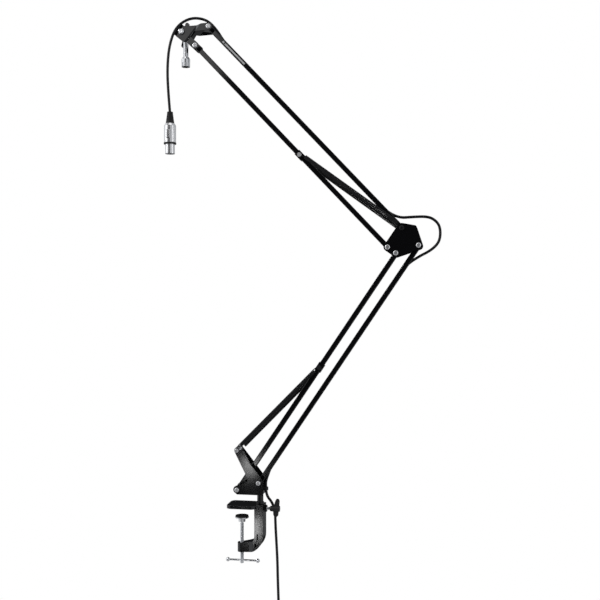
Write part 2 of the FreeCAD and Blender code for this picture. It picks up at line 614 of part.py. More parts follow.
def cord(points, name):
    """Round cable along a rounded path."""
    path, tightest = rounded_path([vec(*p) for p in points])
    first = path.Edges[0]
    start = vec(*points[0])
    tangent = first.tangentAt(first.FirstParameter)
    ring = Part.Wire([Part.Circle(start, tangent, CORD_R).toShape()])
    body = path.makePipeShell([ring], True, False)
    expected = math.pi * CORD_R ** 2 * path.Length
    print(name, "length", round(path.Length, 1), "radius", round(tightest, 1), "volume ratio",
          round(body.Volume / expected, 3))
    return body


def tube_run(start, direction, distances):
    """Points on a tube's axis, with a slight weave so that no three lie on one line."""
    points = []
    for k, distance in enumerate(distances):
        x, z = point_on(start, direction, distance, 0.25 * (-1) ** k)
        points.append((x, 0.0, z))
    return points


TO_ELBOW = (-DIR_U[0], -DIR_U[1])
TO_BASE = (-DIR_L[0], -DIR_L[1])


def beside(pivot, places):
    """Guiding points of the cable, measured from a pivot."""
    return [(pivot[0] + x, y, pivot[1] + z) for x, y, z in places]


ENTRY = point_on(H2, TO_ELBOW, 2.6, TUBE / 2 + CORD_R + 0.85)
HEAD_LOOP = beside(H2, [(-64.7, -11.0, -136.7), (-68.0, -11.0, -100.3), (-69.4, -11.0, -61.3),
                        (-65.8, -11.0, -25.3), (-54.8, -11.0, 2.7), (-32.6, -7.5, 17.2), (-9.6, -1.0, 16.2)])
HEAD_LOOP = HEAD_LOOP + [(ENTRY[0], 0.0, ENTRY[1])]
HEAD_LOOP = HEAD_LOOP + tube_run(H2, TO_ELBOW, [38, 72, 108, 146, 184, 224.3])
ELBOW_UPPER = tube_run(H2, TO_ELBOW, [225.0, 265, 305, 345, 382, 408])
ELBOW_UPPER = ELBOW_UPPER + beside(PC, [(-31.7, 0.0, 43.4), (-9.2, -2.0, 44.6), (14.8, -3.0, 44.8),
                                        (27.0, -3.0, 37.4), (32.8, -3.0, 27.2), (32.8, -3.0, 18.9)])
ELBOW_LOWER = beside(PC, [(32.8, -3.0, 18.9), (32.8, -3.0, 10.6), (27.2, -3.0, -0.2), (15.2, -2.5, -9.6),
                          (1.0, -1.0, -16.4)])
ELBOW_LOWER = ELBOW_LOWER + tube_run(PC, TO_BASE, [36, 68, 104, 144, 184, 226])
BASE_LOOP = tube_run(PC, TO_BASE, [226, 266, 306, 346, 386, LOWER_ARM - 36])
BASE_LOOP = BASE_LOOP + beside(P1, [(13.5, 0.0, 13.6), (9.6, 0.0, 2.6), (8.9, 0.0, -3.9), (9.3, 0.0, -11.4)])
TAIL = [(39.4, 0.0, 30.0), (39.96, 0.0, 19.5), (47.8, 5.8, 8.0), (51.0, 16.8, -8.0), (50.8, 19.5, -30.0),
        (52.6, 18.5, -58.0), (54.6, 17.0, -88.0), (55.4, 16.0, -118.0), (56.8, 15.0, -152.0)]
HANK_TOP = -152.0
HANK_LONG = 108.0
HANK_TURNS = 6
TURN_PITCH = 4.4         # from one turn to the next
RUN_APART = 27.2         # between a turn's two runs
HANK_MARGIN = 4.0        # hank's faces from the outermost runs' axes
HANK_RIGHT = TAIL[-1][0] + HANK_MARGIN
HANK_LEFT = TAIL[-1][0] - RUN_APART - HANK_MARGIN
HANK_BACK = TAIL[-1][1] + HANK_MARGIN
HANK_FRONT = TAIL[-1][1] - HANK_TURNS * TURN_PITCH - HANK_MARGIN
PLUG_X = HEAD_LOOP[0][0]
PLUG_Y = HEAD_LOOP[0][1]
PLUG_TOP = HEAD_LOOP[0][2] + 2.0


def cable_hank():
    """The unseen length, folded into a hank, as one rounded bar."""
    low, high = HANK_TOP - HANK_LONG, HANK_TOP
    body = block(HANK_LEFT, HANK_RIGHT, HANK_FRONT, HANK_BACK, low, high)
    return body.makeFillet(HANK_MARGIN - 0.5, body.Edges)


def hank_tie():
    """Strap round the hank."""
    z, wall = HANK_TOP - 48.0, 1.2
    body = block(HANK_LEFT - wall, HANK_RIGHT + wall, HANK_FRONT - wall, HANK_BACK + wall, z - 12, z)
    corners = [e for e in body.Edges if e.Length < 12.5 and abs(e.tangentAt(0).z) > 0.9]
    return body.makeFillet(4.0, corners).cut(cable_hank())


# ---------------------------------------------------------------- connectors

def at_plug(height, radius, z):
    """Round bar on the female connector's axis."""
    return Part.makeCylinder(radius, height, vec(PLUG_X, PLUG_Y, z), vec(0, 0, 1))


def female_boot():
    """Rubber boot round the cable at the back of the female connector."""
    back = vec(PLUG_X, PLUG_Y, PLUG_TOP - BOOT_LONG)
    body = Part.makeCone(BOOT_THICK, BOOT_THIN, BOOT_LONG, back, vec(0, 0, 1))
    return body.cut(at_plug(BOOT_LONG, CORD_R + BOOT_FIT, PLUG_TOP - 2.5))


def female_shell():
    """Chromed shell with a black index ring and a narrower nose, open at the mouth."""
    back = PLUG_TOP - BOOT_LONG
    body = Part.makeCone(SHELL_R, BOOT_THICK + 0.6, 3.6, vec(PLUG_X, PLUG_Y, back - 3.6), vec(0, 0, 1))
    body = body.fuse(at_plug(27.0, SHELL_R, back - 30.6))
    body = body.fuse(at_plug(2.6, SHELL_R + 0.3, back - 33.2))
    body = body.fuse(at_plug(16.5, NOSE_R, back - 48.8))
    body = body.cut(at_plug(46.0, SHELL_BORE, back - 51.5))
    body = body.cut(at_plug(8.0, 4.9, back - 6.5))
    window = block(PLUG_X - 3.3, PLUG_X + 3.3, PLUG_Y - SHELL_R - 3, PLUG_Y - 4, back - 24.9, back - 10.1)
    return body.cut(window).removeSplitter()


def female_insert():
    """Moulded insert with three sockets."""
    back = PLUG_TOP - BOOT_LONG
    body = at_plug(40.5, SHELL_BORE, back - 46.3)
    front = PLUG_Y - SHELL_R - 3
    body = body.cut(block(PLUG_X - 4, PLUG_X + 4, front, PLUG_Y - 3.6, back - 25.7, back - 9.3))
    for k in range(3):
        t = math.radians(-90 + 120 * k)
        x, y = PLUG_X + PIN_RING * math.cos(t), PLUG_Y + PIN_RING * math.sin(t)
        body = body.cut(Part.makeCylinder(1.35, 12.0, vec(x, y, back - 47.5), vec(0, 0, 1)))
    return body


def latch():
    """Release button of the female connector, proud of its window."""
    back, face = PLUG_TOP - BOOT_LONG, PLUG_Y - SHELL_R - 1.2
    body = block(PLUG_X - 2.9, PLUG_X + 2.9, face, PLUG_Y - 6.2, back - 24.5, back - 10.5)
    return body.makeFillet(1.0, [e for e in body.Edges if abs(e.CenterOfMass.y - face) < 0.01])


MALE_TOP = HANK_TOP - HANK_LONG + 3.0
MALE_X = TAIL[-1][0]
MALE_Y = TAIL[-1][1] - HANK_TURNS * TURN_PITCH


def male_shell():
    """Male connector with its boot, hanging from the hank."""
    x, y = MALE_X, MALE_Y
    down = vec(0, 0, -1)
    body = Part.makeCone(3.4, 4.9, BOOT_LONG, vec(x, y, MALE_TOP), down)
    body = body.fuse(Part.makeCone(MALE_R - 3.8, MALE_R, 3.6, vec(x, y, MALE_TOP - BOOT_LONG), down))
    body = body.fuse(Part.makeCylinder(MALE_R, 40.0, vec(x, y, MALE_TOP - BOOT_LONG - 3.6), down))
    socket = Part.makeCylinder(MALE_BORE, 17.0, vec(x, y, MALE_TOP - BOOT_LONG - 27.6), down)
    return body.cut(socket).removeSplitter()


def male_insert():
    """Insulating disc with the three pins."""
    x, y = MALE_X, MALE_Y
    floor = MALE_TOP - BOOT_LONG - 27.6
    body = Part.makeCylinder(MALE_BORE, 2.0, vec(x, y, floor), vec(0, 0, -1))
    for k in range(3):
        t = math.radians(90 + 120 * k)
        place = vec(x + PIN_RING * math.cos(t), y + PIN_RING * math.sin(t), floor - 1.5)
        body = body.fuse(Part.makeCylinder(1.2, 12.0, place, vec(0, 0, -1)))
    return body.removeSplitter()


# ---------------------------------------------------------------- build

TOP_LOOP_R = BUSH_R + SPRING_WIRE_R + 0.4
WING_LOOP_R = SPRING_BOLT_R + SPRING_WIRE_R + 0.4

save(clamp_frame(), "clamp_frame")
save(clamp_screw(), "clamp_screw")
save(tommy_bar(), "tommy_bar")
save(pressure_pad(), "pressure_pad")
save(pad_face(), "pad_face")
save(knob_stud(), "knob_stud")
save(knob_wing(), "knob_wing")
save(base_plate(-OUTER), "base_plate_front")
save(base_plate(HALF), "base_plate_rear")
save(base_block(), "base_block")
save(swivel_pin(), "swivel_pin")
save(base_bolt(P1), "base_bolt_right")
save(base_bolt(P2), "base_bolt_left")
save(base_spring_pin(), "base_spring_pin")
save(cable_clip(), "cable_clip")
save(tube(P1, DIR_L, LOWER_ARM, [(PORT_LOW, -1), (LOWER_ARM - PORT_ELBOW, -1)], []), "lower_tube_right")
save(tube(P2, DIR_L, LOWER_ARM, [], [LOWER_ANCHOR]), "lower_tube_left")
save(saddle(P2, DIR_L, LOWER_ANCHOR), "lower_saddle")
save(anchor_pin(KL), "lower_anchor_pin")
save(spring(WING, KL, WING_LOOP_R, -SPRING_Y, LOWER_STAGGER), "lower_spring_front")
save(spring(WING, KL, WING_LOOP_R, SPRING_Y, -LOWER_STAGGER), "lower_spring_rear")
save(spring_hook(WING, KL, -SPRING_Y, LOWER_STAGGER), "lower_hook_front")
save(spring_hook(WING, KL, SPRING_Y, -LOWER_STAGGER), "lower_hook_rear")
save(elbow_plate(-OUTER), "elbow_plate_front")
save(elbow_plate(HALF), "elbow_plate_rear")
save(pivot_bolt(PA), "elbow_bolt_a")
save(pivot_bolt(PB), "elbow_bolt_b")
save(pivot_bolt(PC), "elbow_bolt_c")
save(pivot_bolt(PD), "elbow_bolt_d")
save(tube(H2, TO_ELBOW, UPPER_ARM, [(PORT_HEAD, 1), (UPPER_ARM - PORT_UPPER, 1)], []), "upper_tube_top")
save(tube(PA, DIR_U, UPPER_ARM, [], [UPPER_ANCHOR]), "upper_tube_bottom")
save(saddle(PA, DIR_U, UPPER_ANCHOR), "upper_saddle")
save(anchor_pin(KU), "upper_anchor_pin")
save(spring(PD, KU, TOP_LOOP_R, -SPRING_Y, -UPPER_STAGGER), "upper_spring_front")
save(spring(PD, KU, TOP_LOOP_R, SPRING_Y, UPPER_STAGGER), "upper_spring_rear")
save(spring_hook(PD, KU, -SPRING_Y, -UPPER_STAGGER), "upper_hook_front")
save(spring_hook(PD, KU, SPRING_Y, UPPER_STAGGER), "upper_hook_rear")
save(head_plate(-1), "head_plate_front")
save(head_plate(1), "head_plate_rear")
save(pivot_bolt(H2), "head_bolt_top")
save(pivot_bolt(H3), "head_bolt_bottom")
save(tilt_bolt(), "tilt_bolt")
save(tilt_washer(), "tilt_washer")
save(wing_nut(), "wing_nut")
save(mic_post(), "mic_post")
save(coupler(), "coupler")
save(cord(HEAD_LOOP, "cable_head"), "cable_head")
save(cord(ELBOW_UPPER, "cable_elbow_upper"), "cable_elbow_upper")
save(cord(ELBOW_LOWER, "cable_elbow_lower"), "cable_elbow_lower")
save(cord(BASE_LOOP, "cable_base"), "cable_base")
save(cord(TAIL, "cable_tail"), "cable_tail")
save(cable_hank(), "cable_hank")
save(hank_tie(), "hank_tie")
save(female_boot(), "female_boot")
save(female_shell(), "female_shell")
save(female_insert(), "female_insert")
save(latch(), "latch_button")
save(male_shell(), "male_shell")
save(male_insert(), "male_insert")
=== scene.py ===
import math

import bmesh
import bpy
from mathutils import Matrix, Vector


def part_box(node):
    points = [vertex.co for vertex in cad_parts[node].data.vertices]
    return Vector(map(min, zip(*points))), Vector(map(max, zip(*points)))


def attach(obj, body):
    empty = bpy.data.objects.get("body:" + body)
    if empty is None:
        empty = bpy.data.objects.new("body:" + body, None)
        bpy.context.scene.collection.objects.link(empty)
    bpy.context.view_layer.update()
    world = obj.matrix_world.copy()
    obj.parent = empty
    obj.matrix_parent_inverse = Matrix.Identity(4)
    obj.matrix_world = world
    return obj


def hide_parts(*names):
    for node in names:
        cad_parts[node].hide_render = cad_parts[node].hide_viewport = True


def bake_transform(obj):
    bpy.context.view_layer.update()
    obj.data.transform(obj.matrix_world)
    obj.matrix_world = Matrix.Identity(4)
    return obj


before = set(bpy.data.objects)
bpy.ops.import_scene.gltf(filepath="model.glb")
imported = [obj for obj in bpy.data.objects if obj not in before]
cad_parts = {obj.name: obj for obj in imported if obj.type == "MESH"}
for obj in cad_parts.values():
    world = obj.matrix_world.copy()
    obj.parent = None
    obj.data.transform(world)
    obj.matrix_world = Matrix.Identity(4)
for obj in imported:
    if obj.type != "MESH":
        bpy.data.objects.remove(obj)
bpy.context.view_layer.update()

# The studio: a camera with a long lens, a white backdrop, and pale walls on both sides that show in the
# chrome. Four soft boxes light the whole arm, and three small ones in front pick out the head bracket, the
# base bracket and the clamp's beam.
camera = bpy.data.objects.new("camera", bpy.data.cameras.new("camera"))
camera.data.sensor_width = 36
camera.data.lens = 52.83
camera.location = (0.3378, -1.3787, 0.3321)
camera.rotation_euler = (math.radians(90), 0, math.radians(10))
bpy.context.collection.objects.link(camera)
bpy.context.scene.camera = camera
bpy.context.scene.view_settings.view_transform = "Standard"


def soft_box(name, place, aim, width, height, power):
    """A rectangular lamp at a place, turned to what it lights."""
    lamp = bpy.data.lights.new(name, "AREA")
    lamp.shape = "RECTANGLE"
    lamp.size = width
    lamp.size_y = height
    lamp.energy = power
    box = bpy.data.objects.new(name, lamp)
    box.location = place
    box.rotation_euler = (Vector(aim) - Vector(place)).to_track_quat("-Z", "Y").to_euler()
    bpy.context.collection.objects.link(box)


soft_box("box_top", (-0.1, -0.3, 2.1), (0.1, 0, 0.4), 1.2, 0.8, 4)
soft_box("box_left", (-1.6, -0.7, 0.6), (0.1, 0, 0.4), 0.3, 1.2, 2.5)
soft_box("box_right", (1.6, -0.5, 0.5), (0.1, 0, 0.3), 0.3, 1.2, 2)
soft_box("box_key", (-1.25, -1.2, 1.5), (0.1, 0, 0.35), 0.3, 0.3, 12)
soft_box("box_head", (-0.485, -1.25, 1.15), (-0.094, 0, 0.76), 0.24, 0.24, 0.26)
soft_box("box_base", (-0.277, -1.25, -0.170), (0.016, 0, 0.066), 0.035, 0.05, 0.07)
soft_box("box_beam", (-0.258, -1.25, -0.360), (0.028, 0, -0.024), 0.02, 0.06, 0.09)


class Shade:
    """An output in a material's or the surround's nodes. Arithmetic on it adds Math nodes."""

    def __init__(self, tree, socket=None):
        self.tree = tree
        self.socket = socket

    def node(self, kind, settings, inputs, output=0):
        """Adds a node, sets it, fills its sockets with values or links, and returns one of its outputs."""
        made = self.tree.nodes.new("ShaderNode" + kind)
        for name, value in settings.items():
            setattr(made, name, value)
        for name, value in inputs.items():
            if isinstance(value, Shade):
                self.tree.links.new(value.socket, made.inputs[name])
            else:
                made.inputs[name].default_value = value
        return Shade(self.tree, made.outputs[output] if made.outputs else None)

    def math(self, operation, first, second):
        return self.node("Math", {"operation": operation}, {0: first, 1: second})

    def __add__(self, other):
        return self.math("ADD", self, other)

    def __radd__(self, other):
        return self.math("ADD", other, self)

    def __mul__(self, other):
        return self.math("MULTIPLY", self, other)

    def __rmul__(self, other):
        return self.math("MULTIPLY", other, self)


world = bpy.data.worlds.new("surround")
world.use_nodes = True
world.node_tree.nodes.clear()
bpy.context.scene.world = world
nodes = Shade(world.node_tree)
white = nodes.node("Background", {}, {"Color": (1, 1, 1, 1)})
sideways = nodes.node("SeparateXYZ", {}, {0: nodes.node("TexCoord", {}, {}, "Generated")}, "X")
right_wall, left_wall = [
    nodes.node("MapRange", {"interpolation_type": "SMOOTHSTEP"},
               {"Value": sideways, "From Min": near, "From Max": far, "To Min": 0.012, "To Max": bright})
    for near, far, bright in ((0.12, 0.40, 0.55), (-0.42, -0.65, 0.75))]
walls = nodes.node("Background", {}, {"Color": (0.95, 0.97, 1, 1), "Strength": right_wall + left_wall})
seen = nodes.node("LightPath", {}, {}, "Is Camera Ray")
nodes.node("OutputWorld", {}, {"Surface": nodes.node("MixShader", {}, {0: seen, 1: walls, 2: white})})

# The cable's jacket: soft black PVC with a fine matt grain, 4.3 mm thick. It runs in one length from the
# female connector, over the head, through both arms' tubes and down behind the clamp.
cable_radius = 0.00215


def start_finish(name):
    """A new material with no nodes, and the start of its node maths."""
    material = bpy.data.materials.new(name)
    material.use_nodes = True
    material.node_tree.nodes.clear()
    return material, Shade(material.node_tree)


def surface_of(nodes, inputs):
    """Ends a finish in a surface shader with these sockets."""
    shader = nodes.node("BsdfPrincipled", {}, inputs)
    nodes.node("OutputMaterial", {}, {"Surface": shader})


def noise(nodes, scale, detail=3.0, stretch=(1, 1, 1)):
    """Fine random variation in the piece's own metres, drawn out along an axis by stretch."""
    place = nodes.node("TexCoord", {}, {}, "Object")
    place = nodes.node("Mapping", {}, {"Vector": place, "Scale": stretch})
    return nodes.node("TexNoise", {}, {"Vector": place, "Scale": scale, "Detail": detail})


def tint(nodes, mask, first, second):
    """A colour between two, by a mask."""
    return nodes.node("Mix", {"data_type": "RGBA"}, {0: mask, 6: (*first, 1), 7: (*second, 1)}, 2)


jacket, nodes = start_finish("cable jacket")
grain = noise(nodes, 2600)
dust = noise(nodes, 90)
surface_of(nodes, {
    "Base Color": tint(nodes, dust, (0.004, 0.004, 0.005), (0.009, 0.009, 0.010)),
    "Roughness": 0.30 + 0.15 * dust,
    "Normal": nodes.node("Bump", {}, {"Height": grain, "Distance": 0.000015, "Strength": 0.6}),
    "Specular IOR Level": 0.3})


# The cable over the head: it comes up from the female connector, turns over the head bracket and goes
# into the upper tube.
def bolt_axis(node):
    """Where a bolt's axis crosses the arm's middle plane."""
    low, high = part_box(node)
    return Vector(((low[0] + high[0]) / 2, 0, (low[2] + high[2]) / 2))


def tube_run(start, end, distances):
    """Guiding points inside a tube, with the slight weave that a loose cable has there."""
    weave = 0.00025
    along = (end - start).normalized()
    side = Vector((-along.z, 0, along.x))
    return [start + along * distance + side * weave * (-1) ** k for k, distance in enumerate(distances)]


def beside(pivot, places):
    """Guiding points of the cable, measured from a pivot."""
    return [pivot + Vector(place) for place in places]


def smooth_line(points):
    """The line that the cable takes past its guiding points."""
    data = bpy.data.curves.new("guide", "CURVE")
    data.dimensions = "3D"
    data.resolution_u = 14
    spline = data.splines.new("NURBS")
    spline.points.add(len(points) - 1)
    for guide, place in zip(spline.points, points):
        guide.co = (*place, 1)
    spline.order_u = 3
    spline.use_endpoint_u = True
    guide = bpy.data.objects.new("guide", data)
    mesh = bpy.data.meshes.new_from_object(guide)
    line = [vertex.co.copy() for vertex in mesh.vertices]
    bpy.data.objects.remove(guide)
    bpy.data.curves.remove(data)
    bpy.data.meshes.remove(mesh)
    return line


sharp_edge = math.radians(32)


def show(name, mesh, finish):
    """Turns a finished mesh into a piece with its finish, smooth but for its sharp edges."""
    bmesh.ops.recalc_face_normals(mesh, faces=mesh.faces)
    data = bpy.data.meshes.new(name)
    mesh.to_mesh(data)
    mesh.free()
    for face in data.polygons:
        face.use_smooth = True
    data.set_sharp_from_angle(angle=sharp_edge)
    data.materials.append(finish)
    piece = bpy.data.objects.new(name, data)
    bpy.context.collection.objects.link(piece)
    return piece


def swept(name, line, radius, finish, sides=16):
    """A round bar along a line, its rings kept from twisting."""
    mesh = bmesh.new()
    side = (line[1] - line[0]).orthogonal().normalized()
    rings = []
    for k, place in enumerate(line):
        along = (line[min(k + 1, len(line) - 1)] - line[max(k - 1, 0)]).normalized()
        side = (side - along * side.dot(along)).normalized()
        other = along.cross(side)
        turns = [2 * math.pi * j / sides for j in range(sides)]
        rings.append([mesh.verts.new(place + (side * math.cos(t) + other * math.sin(t)) * radius)
                      for t in turns])
    for before, after in zip(rings, rings[1:]):
        for j in range(sides):
            mesh.faces.new((before[j], before[j - 1], after[j - 1], after[j]))
    mesh.faces.new(rings[0])
    mesh.faces.new(rings[-1])
    return show(name, mesh, finish)


head_top = bolt_axis("head_bolt_top")
elbow_top = bolt_axis("elbow_bolt_d")
over_head = beside(head_top, (
    (-0.0647, -0.011, -0.1367), (-0.068, -0.011, -0.1003), (-0.0694, -0.011, -0.0613),
    (-0.0658, -0.011, -0.0253), (-0.0548, -0.011, 0.0027), (-0.0326, -0.0075, 0.0172),
    (-0.0096, -0.001, 0.0162), (0.0069, 0, 0.0029)))
over_head += tube_run(head_top, elbow_top, (0.038, 0.072, 0.108, 0.146, 0.184, 0.2243))
head_line = smooth_line(over_head)
head_cable = swept("cable_over_head", head_line, cable_radius, jacket)
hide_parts("cable_head")
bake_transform(head_cable)

# The cable round the elbow, first half: out of the upper tube's end and out to the right in a slack loop,
# so that the arms can fold.
elbow_right = bolt_axis("elbow_bolt_c")
into_loop = tube_run(head_top, elbow_top, (0.225, 0.265, 0.305, 0.345, 0.382, 0.408))
into_loop += beside(elbow_right, (
    (-0.0317, 0, 0.0434), (-0.0092, -0.002, 0.0446), (0.0148, -0.003, 0.0448), (0.027, -0.003, 0.0374),
    (0.0328, -0.003, 0.0272), (0.0328, -0.003, 0.0189)))
line = smooth_line(into_loop)
loop_top = swept("cable_elbow_loop_top", line, cable_radius, jacket)
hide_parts("cable_elbow_upper")
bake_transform(loop_top)

# The cable round the elbow, second half: from the loop's outermost point back under the plates and into
# the slot of the lower tube.
base_right = bolt_axis("base_bolt_right")
out_of_loop = beside(elbow_right, (
    (0.0328, -0.003, 0.0189), (0.0328, -0.003, 0.0106), (0.0272, -0.003, -0.0002), (0.0152, -0.0025, -0.0096),
    (0.001, -0.001, -0.0164)))
out_of_loop += tube_run(elbow_right, base_right, (0.036, 0.068, 0.104, 0.144, 0.184, 0.226))
line = smooth_line(out_of_loop)
loop_bottom = swept("cable_elbow_loop_bottom", line, cable_radius, jacket)
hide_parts("cable_elbow_lower")
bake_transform(loop_bottom)

# The cable at the base: out of the lower tube's end, past the pivot bolt and into the rubber clip on the
# foot.
to_clip = tube_run(elbow_right, base_right, (0.226, 0.266, 0.306, 0.346, 0.386, 0.416))
to_clip += beside(base_right, ((0.0135, 0, 0.0136), (0.0096, 0, 0.0026), (0.0089, 0, -0.0039),
                               (0.0093, 0, -0.0114)))
line = smooth_line(to_clip)
base_cable = swept("cable_at_base", line, cable_radius, jacket)
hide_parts("cable_base")
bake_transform(base_cable)

# The cable's tail: from the clip it goes round behind the lock knob and hangs down beside the clamp.
down = [Vector(place) for place in (
    (0.0394, 0, 0.030), (0.03996, 0, 0.0195), (0.0478, 0.0058, 0.008), (0.051, 0.0168, -0.008),
    (0.0508, 0.0195, -0.030), (0.0526, 0.0185, -0.058), (0.0546, 0.017, -0.088), (0.0554, 0.016, -0.118),
    (0.0568, 0.015, -0.152))]
line = smooth_line(down)
tail = swept("cable_tail_down", line, cable_radius, jacket)
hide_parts("cable_tail")
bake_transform(tail)

# The rest of the cable, about 1.5 m, put away as a hank of six long turns below the clamp, each turn one
# cable's thickness from the last. A turn has five points round each end and one on each run between them.
# The cable's end goes straight down into the male connector.
hank_turns = 6
turn_pitch = 0.0044
runs_apart = 0.0272
end_room = 0.003
lead_in = 0.010
into_relief = 0.004
hank_low, hank_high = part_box("cable_hank")
male_low, male_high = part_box("male_shell")
bend_top = hank_high[2] - end_room - cable_radius - runs_apart / 2
bend_low = hank_low[2] + end_room + cable_radius + runs_apart / 2
middle_z = (bend_top + bend_low) / 2
corner = runs_apart / 2 / math.cos(math.radians(18))
down_x, down_y = down[-1].x, down[-1].y
middle_x = down_x - runs_apart / 2
hank_line = [down[-1], Vector((down_x, down_y, hank_high[2] - lead_in)), Vector((down_x, down_y, middle_z))]
for turn in range(hank_turns):
    for step in range(12):
        y = down_y - turn_pitch * (turn + (step + 1) / 12)
        angle = math.radians(-18 - 36 * (step % 6))
        if step == 5:
            place = (middle_x - runs_apart / 2, y, middle_z)
        elif step == 11:
            place = (middle_x + runs_apart / 2, y, middle_z)
        elif step < 5:
            place = (middle_x + corner * math.cos(angle), y, bend_low + corner * math.sin(angle))
        else:
            place = (middle_x - corner * math.cos(angle), y, bend_top - corner * math.sin(angle))
        hank_line.append(Vector(place))
end_y = hank_line[-1].y
hank_line += [Vector((down_x, end_y, bend_low)), Vector((down_x, end_y, male_high[2] - into_relief))]
data = bpy.data.curves.new("cable_hank_wound", "CURVE")
data.dimensions = "3D"
data.resolution_u = 6
data.bevel_depth = cable_radius
data.bevel_resolution = 4
spline = data.splines.new("NURBS")
spline.points.add(len(hank_line) - 1)
for guide, place in zip(spline.points, hank_line):
    guide.co = (*place, 1)
spline.order_u = 3
spline.use_endpoint_u = True
data.materials.append(jacket)
hank = bpy.data.objects.new("cable_hank_wound", data)
bpy.context.collection.objects.link(hank)
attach(hank, "clamp")
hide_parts("cable_hank")

# The tie round the hank: a strap of black hook-and-loop tape, 12 mm wide and soft at its corners. It is
# wrapped once round the hank's middle and closes on itself.
tape, nodes = start_finish("tie tape")
loops = noise(nodes, 1500, 2.0, (1, 1, 3))
surface_of(nodes, {
    "Base Color": tint(nodes, loops, (0.004, 0.004, 0.005), (0.020, 0.020, 0.022)),
    "Roughness": 0.75 + 0.2 * loops,
    "Normal": nodes.node("Bump", {}, {"Height": loops, "Distance": 0.0003, "Strength": 0.9})})


def strap_round(name, low, high, wall, finish):
    """A soft strap in a rounded rectangle round a bundle."""
    mesh = bmesh.new()
    middle = (Vector(low) + Vector(high)) / 2
    round_off = 0.005
    soft_edge = 0.0008
    sides = 40
    rings = []
    for height, out in ((low[2], 0.5), (low[2] + soft_edge, 1.0), (high[2] - soft_edge, 1.0),
                        (high[2], 0.5), (high[2], 0.0), (low[2], 0.0)):
        ring = []
        for k in range(sides):
            turn = 2 * math.pi * (k + 0.5) / sides
            x = math.copysign((high[0] - low[0]) / 2 - wall - round_off, math.cos(turn))
            y = math.copysign((high[1] - low[1]) / 2 - wall - round_off, math.sin(turn))
            reach = round_off + wall * out
            ring.append(mesh.verts.new((middle.x + x + reach * math.cos(turn),
                                        middle.y + y + reach * math.sin(turn), height)))
        rings.append(ring)
    for before, after in zip(rings, rings[1:] + rings[:1]):
        for k in range(sides):
            mesh.faces.new((before[k], before[k - 1], after[k - 1], after[k]))
    return show(name, mesh, finish)


tie_low, tie_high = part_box("hank_tie")
tie = strap_round("hank_strap", tie_low, tie_high, 0.0012, tape)
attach(tie, "clamp")
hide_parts("hank_tie")

# The male connector at the cable's far end: a ribbed rubber relief, a satin chromed barrel and the three
# pins in their disc.
rubber, nodes = start_finish("relief rubber")
grain = noise(nodes, 1800)
surface_of(nodes, {
    "Base Color": tint(nodes, noise(nodes, 60), (0.006, 0.006, 0.006), (0.014, 0.014, 0.014)),
    "Roughness": 0.55 + 0.2 * grain,
    "Normal": nodes.node("Bump", {}, {"Height": grain, "Distance": 0.00005, "Strength": 0.7}),
    "Specular IOR Level": 0.4})


def plated(name, tone, rough, turned_marks=0.25):
    """Chrome plate: bright, nearly smooth, with faint lathe marks and a little handling haze."""
    material, nodes = start_finish(name)
    marks = noise(nodes, 300, 2.0, (1, 1, 14))
    haze = noise(nodes, 45)
    surface_of(nodes, {
        "Base Color": tint(nodes, haze, tone, tuple(0.86 * part for part in tone)),
        "Metallic": 1.0,
        "Roughness": rough + 0.10 * haze + turned_marks * 0.1 * marks,
        "Normal": nodes.node("Bump", {}, {"Height": marks, "Distance": 0.00002, "Strength": turned_marks})})
    return material


chrome = plated("chrome plate", (0.80, 0.81, 0.83), 0.05)
satin_chrome = plated("satin chrome", (0.86, 0.86, 0.87), 0.20)
moulding, nodes = start_finish("insulator moulding")
surface_of(nodes, {"Base Color": tint(nodes, noise(nodes, 400), (0.010, 0.010, 0.011), (0.022, 0.022, 0.023)),
                   "Roughness": 0.35 + 0.2 * noise(nodes, 700)})


def turned(name, profile, finish, place, axis=(0, 0, 1), sides=40, carve=None, ring=False):
    """A part turned from (along, radius) corners; carve(along, angle) is the depth cut away there."""
    mesh = bmesh.new()
    lie = Vector(axis).to_track_quat("Z", "Y").to_matrix()
    rings = []
    for along, radius in profile:
        if radius == 0:
            rings.append([mesh.verts.new(Vector(place) + lie @ Vector((0, 0, along)))] * sides)
            continue
        circle = []
        for k in range(sides):
            angle = 2 * math.pi * k / sides
            reach = radius - (carve(along, angle) if carve else 0)
            circle.append(mesh.verts.new(Vector(place) + lie @ Vector(
                (reach * math.cos(angle), reach * math.sin(angle), along))))
        rings.append(circle)
    for before, after in zip(rings, rings[1:] + (rings[:1] if ring else [])):
        for k in range(sides):
            corners = []
            for corner_point in (before[k], before[k - 1], after[k - 1], after[k]):
                if corner_point not in corners:
                    corners.append(corner_point)
            if len(corners) > 2:
                mesh.faces.new(corners)
    return show(name, mesh, finish)


def relief_profile(long, thin, thick, hole):
    """A tapered rubber relief with grooves cut round it, from its thick end to the cable."""
    steps = 38
    groove_depth = 0.00045
    profile = [(0, hole)]
    for k in range(steps + 1):
        share = k / steps
        groove = groove_depth if 0.25 < share < 0.95 and k % 4 in (2, 3) else 0
        profile.append((long * share, thick + (thin - thick) * share - groove))
    return profile + [(long, hole)]


